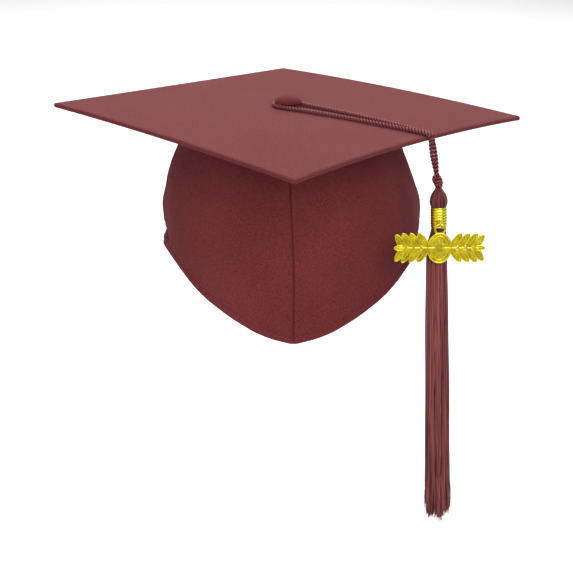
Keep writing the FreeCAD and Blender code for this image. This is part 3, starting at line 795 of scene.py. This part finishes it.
# the knot: the cord taken through itself
t = np.linspace(0, 2 * math.pi, 241)
K = np.stack([(1.55 + 1.15 * np.cos(3 * t)) * np.cos(2 * t + 0.5), (1.55 + 1.15 * np.cos(3 * t)) * np.sin(2 * t + 0.5), 3.3 * np.sin(3 * t)], -1)
K[:, 2] -= 28.6
K = dropped(K)
T, N, B = frames(K[None])
T, N, B = T[0], N[0], B[0]
LK = np.concatenate([[0], np.cumsum(np.linalg.norm(np.diff(K, axis=0), axis=1))])
V_all, F_all, uv_all, at = [], [], [], 0
turns = round(LK[-1] / 4.4)
for ply in (0, 1):
    a = LK / LK[-1] * turns * 2 * math.pi + math.pi * ply
    path = K + 0.66 * (np.cos(a)[:, None] * N + np.sin(a)[:, None] * B)
    V, F, uv = ply_tube(path, K, 0.78)
    V_all.append(V)
    F_all += [tuple(i + at for i in f) for f in F]
    uv_all.append(uv)
    at += len(V)
knot = make("tassel_knot_cord", np.concatenate(V_all), F_all, np.concatenate(uv_all))
finish_piece(knot, "cord_drop", "cord", M_CORD_PAINTED_SHADING, "tassel_knot")

# ------------------------------------------------------------------ the tassel's head
HEAD = [(32.6, 2.3), (34.3, 2.8), (35.6, 3.5), (37.0, 4.3), (38.8, 5.15), (41.0, 5.8), (43.2, 6.05), (45.0, 5.8), (46.6, 5.1), (47.4, 4.7)]
sN = np.linspace(33.0, 47.3, 30)
# the head's core, painted dark as the shade between its threads
core = lathe([(0.0, -32.9)] + [(max(float(table(HEAD, x)) - 0.75, 0.4), -x) for x in sN], 48)
core_ob = make("tassel_head_core", hang(core[0]), core[1])
finish_piece(core_ob, "tassel", "threads", M_THREAD_PAINTED_SHADE)
nth = 40
ang0 = np.arange(nth) * 2 * math.pi / nth + rng.normal(0, 0.022, nth)
tw = rng.normal(0, 0.12, nth)
ss = np.linspace(0, 1, 26)
sv = 32.7 + 14.5 * ss[None, :] + 0 * ang0[:, None]
rr = table(HEAD, sv) - 0.42 + rng.uniform(-0.34, 0.24, nth)[:, None] * smooth(0, 0.3, ss)[None, :]
rr = np.maximum(rr, 0.5)
aa = ang0[:, None] + tw[:, None] * (ss[None, :] - 0.5) + 0.05 * np.sin(ss[None, :] * 5 + ang0[:, None] * 3)
PT = np.stack([rr * np.cos(aa), rr * np.sin(aa), -sv], -1)
V, F, uv = tubes(hang(PT), np.clip(0.44 * rr / 4.8, 0.14, 0.46), 8)
head = make("tassel_head_threads", V, F, uv)
finish_piece(head, "tassel", "threads", M_HEAD, "tassel_head")

# ------------------------------------------------------------------ the ribbed band, its eye and link
BT, BB, BRD = 46.5, 61.2, 5.8
rows = [(4.62, -BT - 0.35), (4.75, -BT - 0.1), (5.0, -BT), (5.3, -BT - 0.08), (5.52, -BT - 0.35), (5.55, -BT - 0.8)]
ribs, s0, s1 = 6, BT + 1.5, BB - 1.6
pitch = (s1 - s0) / ribs
for i in range(ribs):
    for f in np.linspace(0, 1, 11)[:-1]:
        rows.append((5.22 + 0.52 * abs(math.sin(math.pi * f)) ** 0.8, -(s0 + (i + f) * pitch)))
rows += [(5.3, -s1), (5.56, -s1 - 0.35), (5.6, -BB + 0.45), (5.48, -BB + 0.12), (5.2, -BB), (4.8, -BB + 0.05), (4.62, -BB + 0.3)]
V, F = lathe(rows, 120)
band = make("tassel_band_ribbed", hang(V), F)
finish_piece(band, "tassel", "gold_metal", M_GOLD, "tassel_band")
EYE_S, EYE_Y = BT + 8.85, -7.0
LINK_S, CY = EYE_S + 0.9, EYE_Y - 2.0


def ring(name, R, r, s, y, axis, body, node, n=72, lo=0.0, hi=2 * math.pi, mat=None):
    t = np.linspace(lo, hi, n + 1)
    whole = hi - lo > 6.28
    if whole:
        t = t[:-1]
    if axis == "z":
        c = np.stack([R * np.cos(t), y + R * np.sin(t), -s + 0 * t], -1)
        up = np.array([0, 0, 1.0])
    elif axis == "x":
        c = np.stack([0 * t, y + R * np.cos(t), -s + R * np.sin(t)], -1)
        up = np.array([1.0, 0, 0])
    else:
        c = np.stack([R * np.cos(t), y + 0 * t, -s + R * np.sin(t)], -1)
        up = np.array([0, 1.0, 0])
    centre = np.array([0, y, -s])
    rad = (c - centre) / R
    b = np.arange(16) * 2 * math.pi / 16
    V = c[:, None] + r * (np.cos(b)[None, :, None] * rad[:, None] + np.sin(b)[None, :, None] * up[None, None])
    F = grid_faces(len(t), 16, wrap_n=whole, wrap_m=True)
    ob = make(name, hang(V.reshape(-1, 3)), F)
    return finish_piece(ob, body, "gold_metal", mat or M_GOLD, node)


ring("band_eye_wire", 2.0, 0.5, EYE_S, EYE_Y, "z", "tassel", "band_eye", lo=math.radians(-215), hi=math.radians(35))
ring("charm_link_wire", 2.2, 0.5, LINK_S, EYE_Y - 2.0, "x", "charm_link", "charm_link")

# ------------------------------------------------------------------ the charm: a laurel and medallion in openwork
LOOP_S = LINK_S + 2.2 - 1.55 + 3.5
C_TOP = LOOP_S + 2.4
C_MID = C_TOP + 10.9
pivot = hang((0.0, CY, -(LINK_S + 2.2)))


def charm_place(P):
    """From the charm's own plane (x to the right, y up from the pivot, z towards the front), hanging plumb."""
    P = np.asarray(P, float)
    return np.stack([pivot[0] + P[..., 0], pivot[1] - P[..., 2], pivot[2] + P[..., 1]], -1)


PV = LINK_S + 2.2


def outline_leaf(x, s, a, b, turn, n=72, tip=0.35):
    """A pointed leaf's outline in the charm's plane."""
    t = np.arange(n) * 2 * math.pi / n
    px = a * np.cos(t)
    py = b * np.sin(t) * (1 - tip * np.cos(t) ** 8) * (1 - 0.12 * np.cos(t))
    c, q = math.cos(math.radians(turn)), math.sin(math.radians(turn))
    return np.stack([x + px * c - py * q, (PV - s) + px * q + py * c], -1)


def plate(poly, z0, z1, bevel=0.18):
    """A flat plate with a bevelled edge from a closed outline."""
    n = len(poly)
    cen = poly.mean(0)
    nrm = np.roll(poly, -1, 0) - np.roll(poly, 1, 0)
    nrm = np.stack([nrm[:, 1], -nrm[:, 0]], -1)
    nrm /= np.linalg.norm(nrm, axis=1, keepdims=True) + 1e-9
    if ((poly - cen) * nrm).sum() < 0:
        nrm = -nrm
    rings = []
    for inset, z in ((bevel, z0), (0, z0 + bevel), (0, z1 - bevel), (bevel, z1)):
        rings.append(np.column_stack([poly - nrm * inset, np.full(n, z)]))
    V = np.concatenate(rings + [np.array([[*cen, z0]]), np.array([[*cen, z1]])])
    F = []
    for r in range(3):
        for i in range(n):
            j = (i + 1) % n
            F.append((r * n + i, r * n + j, (r + 1) * n + j, (r + 1) * n + i))
    for i in range(n):
        j = (i + 1) % n
        F.append((4 * n, j, i))
        F.append((4 * n + 1, 3 * n + i, 3 * n + j))
    return V, F


class Bag:
    """Collects pieces of mesh into one object."""

    def __init__(self):
        self.v, self.f, self.m, self.s, self.n = [], [], [], [], 0

    def add(self, VF, mat=0, round_=False):
        V, F = VF[0], VF[1]
        self.s += [round_] * len(F)
        self.v.append(np.asarray(V, float))
        self.f += [tuple(int(i) + self.n for i in f) for f in F]
        self.m += [mat] * len(F)
        self.n += len(V)


def rim(poly, z, r=0.42, flat=0.75, closed=True, taper=False):
    """A raised round edge along an outline."""
    P = np.column_stack([poly, np.full(len(poly), z)])
    n = len(P)
    if closed:
        d = np.roll(P, -1, 0) - np.roll(P, 1, 0)
    else:
        d = np.gradient(P, axis=0)
    d /= np.linalg.norm(d, axis=1, keepdims=True) + 1e-9
    side = np.stack([d[:, 1], -d[:, 0], 0 * d[:, 0]], -1)
    b = np.arange(10) * 2 * math.pi / 10
    rr = np.full(n, r)
    if taper:
        x = np.linspace(0, 1, n)
        rr = r * (0.35 + 0.65 * np.sin(np.pi * np.clip(x * 1.0, 0, 1)) ** 0.5)
    V = P[:, None] + rr[:, None, None] * (np.cos(b)[None, :, None] * side[:, None] + flat * np.sin(b)[None, :, None] * np.array([0, 0, 1.0])[None, None])
    return V.reshape(-1, 3), grid_faces(n, 10, wrap_n=closed, wrap_m=True, flip=True)


bag = Bag()
Z0, Z1 = -0.75, 0.30
FRONT = 0.42
shapes = []
for sg in (-1, 1):
    for x, a, b in ((8.4, 6.1, 2.35), (13.8, 6.1, 2.35), (19.2, 6.1, 2.35), (24.4, 5.5, 2.25)):
        for up in (1, -1):
            o = outline_leaf(x + 0.53 * a, C_MID - up * 0.85 * a, a, b, up * 58)
            shapes.append(o if sg > 0 else (o * np.array([-1, 1]))[::-1])
    o = outline_leaf(28.0, C_MID, 3.2, 1.7, 0)
    shapes.append(o if sg > 0 else (o * np.array([-1, 1]))[::-1])
for i_, o in enumerate(shapes):
    lift_ = 0.05 * (i_ % 9)
    bag.add(plate(o, Z0 + lift_, Z1 - 0.2 + lift_), 1)
    bag.add(rim(o, FRONT - 0.2 + lift_, 0.46), 0, True)
    cen = o.mean(0)
    far_i = np.argmax(((o - cen) ** 2).sum(1))
    tipv = o[far_i] - cen
    tt = np.linspace(-0.80, 0.70, 14)[:, None]
    bag.add(rim(cen + tipv * tt, FRONT - 0.22 + lift_, 0.30, closed=False, taper=True), 0, True)
xs = np.linspace(-28.0, 28.0, 61)
bag.add(rim(np.stack([xs, PV - C_MID + 0 * xs], -1), FRONT - 0.1, 0.85, closed=False, taper=True), 0, True)
# the medallion
t = np.arange(144) * 2 * math.pi / 144
mc = PV - C_MID
for k_, (ra, rb, mat, z1) in enumerate(((8.0, 10.5, 1, Z1 + 0.28),)):
    o = np.stack([ra * np.cos(t), mc + rb * np.sin(t)], -1)
    bag.add(plate(o, Z0, z1), mat)
    bag.add(rim(o, FRONT + 0.3, 0.62), 0, True)
inner_o = np.stack([6.0 * np.cos(t), mc + 8.3 * np.sin(t)], -1)
bag.add(rim(inner_o, FRONT + 0.2, 0.36), 0, True)
# rosette of petals in the medallion
for i in range(8):
    a = i * math.pi / 4 + math.pi / 8
    o = outline_leaf(0, 0, 3.1, 1.15, 0, 40)
    o[:, 1] -= PV
    c, q = math.cos(a), math.sin(a)
    sc = np.array([1.0, 1.25])
    ctr = np.array([3.2 * c, 3.2 * q])
    R = np.array([[c, -q], [q, c]])
    o = (o @ R.T + ctr) * sc + np.array([0, mc])
    bag.add(plate(o, Z1, Z1 + 0.62, 0.2), 0)
o = np.stack([1.5 * np.cos(t[::6]), mc + 1.5 * np.sin(t[::6])], -1)
V, F = plate(o, Z1, Z1 + 0.85, 0.3)
bag.add((V, F), 0)
# berries along the stem and between the leaf tips
for sg in (-1, 1):
    for x, y in ((12.6, 0), (18.0, 0), (23.4, 0), (19.7, 8.3), (19.7, -8.3), (25.0, 8.0), (25.0, -8.0), (14.3, 8.3), (14.3, -8.3)):
        r_ = 1.0 if y == 0 else 0.85
        o = np.stack([sg * x + r_ * np.cos(t[::6]), PV - C_MID + y + r_ * np.sin(t[::6])], -1)
        bag.add(plate(o, Z0 + 0.13, Z1 + (0.75 if y == 0 else 0.31), 0.3), 0)
# its cast loop
tl = np.arange(72) * 2 * math.pi / 72
lo = np.stack([3.5 * np.cos(tl), PV - LOOP_S + 3.5 * np.sin(tl)], -1)
bag.add(rim(lo, 0.0, 0.75, flat=1.0), 0, True)
o = np.stack([2.4 * np.cos(t[::4]), PV - (LOOP_S + 4.1) + 1.2 * np.sin(t[::4])], -1)
bag.add(plate(o, Z0 + 0.1, Z1 + 0.2, 0.2), 0)
V = charm_place(np.concatenate(bag.v))
charm = make("charm_openwork", V, bag.f)
charm.data.materials.append(M_GOLD)
charm.data.materials.append(M_GOLD_FIELD)
charm.data.polygons.foreach_set("material_index", bag.m)
charm.data.polygons.foreach_set("use_smooth", bag.s)
charm.data.update()
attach(charm, "charm")
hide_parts("charm")

# ------------------------------------------------------------------ the skirt of threads
SK = [(60.4, 4.5), (63.5, 4.9), (68, 5.8), (74, 6.6), (88, 7.25), (108, 7.6), (150, 8.1), (200, 8.5), (250, 8.8), (288, 9.1)]
WIDE = 1.0
nt_ = 620
frac = np.sqrt(rng.uniform(0.0, 1.0, nt_))
outer = np.arange(nt_) < 250
frac[outer] = rng.uniform(0.86, 1.0, outer.sum())
ang = rng.uniform(0, 2 * math.pi, nt_)
ang[outer] = np.arange(outer.sum()) * 2 * math.pi / outer.sum() + rng.normal(0, 0.012, outer.sum())
length = 284.0 - rng.exponential(2.6, nt_) - rng.uniform(0, 6.0, nt_) - 3.0 * (1 + np.sin(ang * 2.0 + 2.2)) * rng.uniform(0.3, 1.0, nt_)
length = np.clip(length, 266, 286)
m_ = 34
q = np.linspace(0, 1, m_)
s = 60.6 + (length[:, None] - 60.6) * q[None]
rad = table(SK, s) * frac[:, None]
clump = Waves(51, 6, 0.9, 2.4)
lean_a = 0.018 * clump(ang / (2 * math.pi) * 6.0)[:, None] * smooth(0.05, 0.5, q)[None]
wob = rng.uniform(0, 2 * math.pi, (nt_, 3))
drift_a = rng.normal(0, 0.24, nt_)[:, None] * q[None] ** 2.0 + 0.22 * smooth(0.35, 1.0, q)[None] * np.sin(ang * 3 + 0.6)[:, None]
wave_r = 0.16 * np.sin(q[None] * 9 + wob[:, :1]) * smooth(0.05, 0.3, q)[None] + 0.12 * np.sin(q[None] * 21 + wob[:, 1:2]) * q[None]
wave_a = 0.05 * np.sin(q[None] * 13 + wob[:, 2:3]) * smooth(0.05, 0.3, q)[None]
spread = 1 + 0.05 * rng.normal(0, 1, nt_)[:, None] * smooth(0.8, 1.0, q)[None]
aa = ang[:, None] + lean_a + drift_a + wave_a
rr = (rad + wave_r) * spread
PS = np.stack([WIDE * rr * np.cos(aa), 0.985 * rr * np.sin(aa), -s], -1)
PS[..., 0] -= 1.5 * smooth(61.0, 78.0, s)
# a loose end or two kicks out at the foot
kick = rng.normal(0, 1.0, (nt_, 2)) * 0.5
PS[..., 0] += kick[:, :1] * smooth(0.9, 1.0, q)[None]
PS[..., 1] += 0.5 * kick[:, 1:] * smooth(0.9, 1.0, q)[None]
V, F, uv = tubes(hang(PS), rng.uniform(0.24, 0.40, nt_)[:, None] * (1 - 0.35 * smooth(0.985, 1.0, q))[None], 5)
skirt = make("tassel_threads", V, F, uv)
finish_piece(skirt, "tassel", "threads", M_THREAD, "tassel_skirt")
# the mass of threads within, painted dark as the shade deep inside the skirt
inn = lathe([(0.0, -60.6)] + [(float(table(SK, x)) * 0.86, -x) for x in np.linspace(60.7, 260, 44)] + [(0.0, -260.5)], 64)
Vi = inn[0] * np.array([1.06, 0.95, 1.0])
Vi[:, 0] -= 1.5 * smooth(61.0, 78.0, -Vi[:, 2])
core2 = make("tassel_threads_core", hang(Vi), inn[1])
finish_piece(core2, "tassel", "threads", M_THREAD_PAINTED_SHADE)

# ------------------------------------------------------------------ floor, light, camera
bpy.ops.mesh.primitive_plane_add(size=40.0, location=(0, 6.0, -1.5))
floor = bpy.context.object
floor.name = "floor"
mf, nt, b = new_mat("pale_floor")
b.inputs["Base Color"].default_value = (0.95, 0.95, 0.95, 1)
b.inputs["Roughness"].default_value = 0.9
floor.data.materials.append(mf)

w = bpy.data.worlds.new("studio")
bpy.context.scene.world = w
w.use_nodes = True
w.node_tree.nodes["Background"].inputs[0].default_value = (1, 1, 1, 1)
w.node_tree.nodes["Background"].inputs[1].default_value = 0.30


def area(name, loc, aim, size, power, size_y=None, color=(1, 1, 1)):
    li = bpy.data.lights.new(name, "AREA")
    li.energy, li.size, li.color = power, size, color
    if size_y:
        li.shape, li.size_y = "RECTANGLE", size_y
    ob = bpy.data.objects.new(name, li)
    bpy.context.scene.collection.objects.link(ob)
    ob.location = loc
    ob.rotation_mode = "QUATERNION"
    ob.rotation_quaternion = (Vector(aim) - Vector(loc)).to_track_quat("-Z", "Y")
    return ob


area("key", (0.35, -1.45, 0.88), (0, 0, 0.03), 1.2, 19.0)
area("fill", (-1.4, -1.3, 0.6), (0, 0, 0.0), 1.3, 7.0)
area("top", (-0.5, 0.0, 1.7), (0, 0, 0.1), 1.2, 6.5)
area("backdrop", (0, 6.0, 3.5), (0, 6.0, -1.5), 6.0, 640.0, size_y=11.0)
bpy.context.scene.view_settings.view_transform = "Standard"

az, el, roll = math.radians(-1.454), math.radians(18.316), math.radians(0.35)
backv = Vector((math.sin(az) * math.cos(el), -math.cos(az) * math.cos(el), math.sin(el)))
right = Vector((math.cos(az), math.sin(az), 0))
up = backv.cross(right)
right2 = right * math.cos(roll) + up * math.sin(roll)
up2 = up * math.cos(roll) - right * math.sin(roll)
loc = Vector((BX, 0, BZ)) + backv * 1164.49 + right2 * -1.148 + up2 * -130.355
cam_d = bpy.data.cameras.new("camera")
cam_d.sensor_width = 36.0
cam_d.lens = 1600.0 * 36.0 / 573.0
cam = bpy.data.objects.new("camera", cam_d)
bpy.context.scene.collection.objects.link(cam)
rot = Matrix((right2, up2, backv)).transposed().to_4x4()
cam.matrix_world = Matrix.Translation(loc * MM) @ rot
bpy.context.scene.camera = cam

print("cord length mm", round(total, 1))
